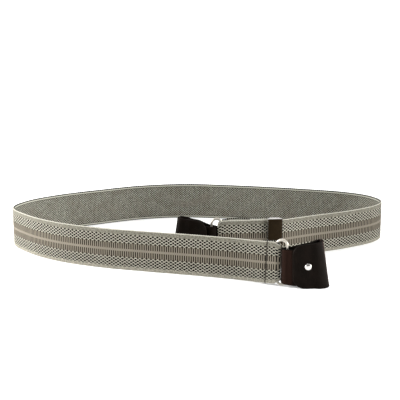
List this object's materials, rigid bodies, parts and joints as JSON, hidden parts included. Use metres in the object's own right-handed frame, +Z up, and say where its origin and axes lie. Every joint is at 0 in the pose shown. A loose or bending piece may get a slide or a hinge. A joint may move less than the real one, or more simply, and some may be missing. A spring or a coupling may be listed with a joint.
{
  "type": "buckleless belt",
  "caption": "Buckleless belt: patterned elastic webbing standing in an open loop, with a wire ring and a snap-closed leather tab at either end and a leather-faced slide.",
  "frame": {"origin": "on the surface the belt stands on, below the middle of its bounding box", "axes": "+X along the front stretch towards the front tab, +Y from the front stretch to the back stretch, +Z up from the webbing's lower edge to its upper edge"},
  "size_m": [0.342, 0.2374, 0.0387],
  "materials": {
    "webbing": "matt woven elastic webbing with diamond and rib bands",
    "ring_metal": "bright plated wire",
    "snap_metal": "bright plated snap",
    "slide_metal": "bright plated slide",
    "tab_leather": "nearly black brown leather, low sheen",
    "slide_leather": "dark olive brown leather, low sheen"
  },
  "bodies": {
    "root": {"webbing": "webbing", "front_ring": "ring_metal", "front_tab": "tab_leather", "front_snap_cap": "snap_metal", "front_snap_stud": "snap_metal", "back_ring": "ring_metal", "back_tab": "tab_leather", "back_snap_cap": "snap_metal", "back_snap_stud": "snap_metal", "slide": "slide_metal", "slide_cover": "slide_leather"}
  },
  "joints": []
}
